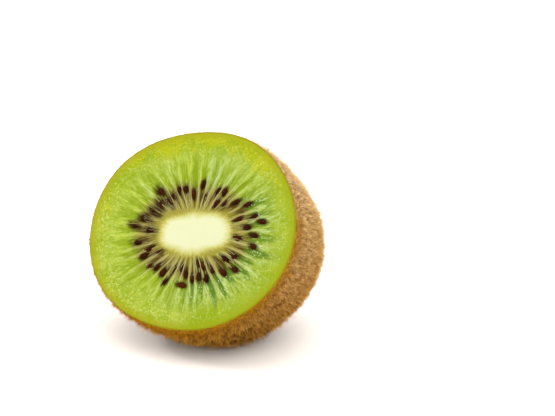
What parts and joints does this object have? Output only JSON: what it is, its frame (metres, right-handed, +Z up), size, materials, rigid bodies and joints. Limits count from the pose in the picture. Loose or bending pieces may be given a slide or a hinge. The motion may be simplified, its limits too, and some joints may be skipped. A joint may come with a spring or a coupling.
{
  "type": "kiwi fruit half",
  "caption": "Half of a furry brown green-fleshed kiwi fruit, cut across its middle and lying tipped back on its skin, with a pale pith, fine rays and dark seeds showing.",
  "frame": {"origin": "middle of the part's box on the ground that it rests on", "axes": "+X across the cut face along the ground, +Y away from the cut face towards the tail, +Z up"},
  "size_m": [0.0522, 0.0434, 0.0473],
  "materials": {
    "flesh": "wet, slightly translucent green flesh with pale rays and a cream pith",
    "seed": "small hard dark maroon seeds with a wet gloss",
    "skin": "thin matt brown skin",
    "fuzz": "short stiff golden brown hairs"
  },
  "bodies": {
    "root": {"kiwi_half": "flesh"}
  },
  "joints": []
}
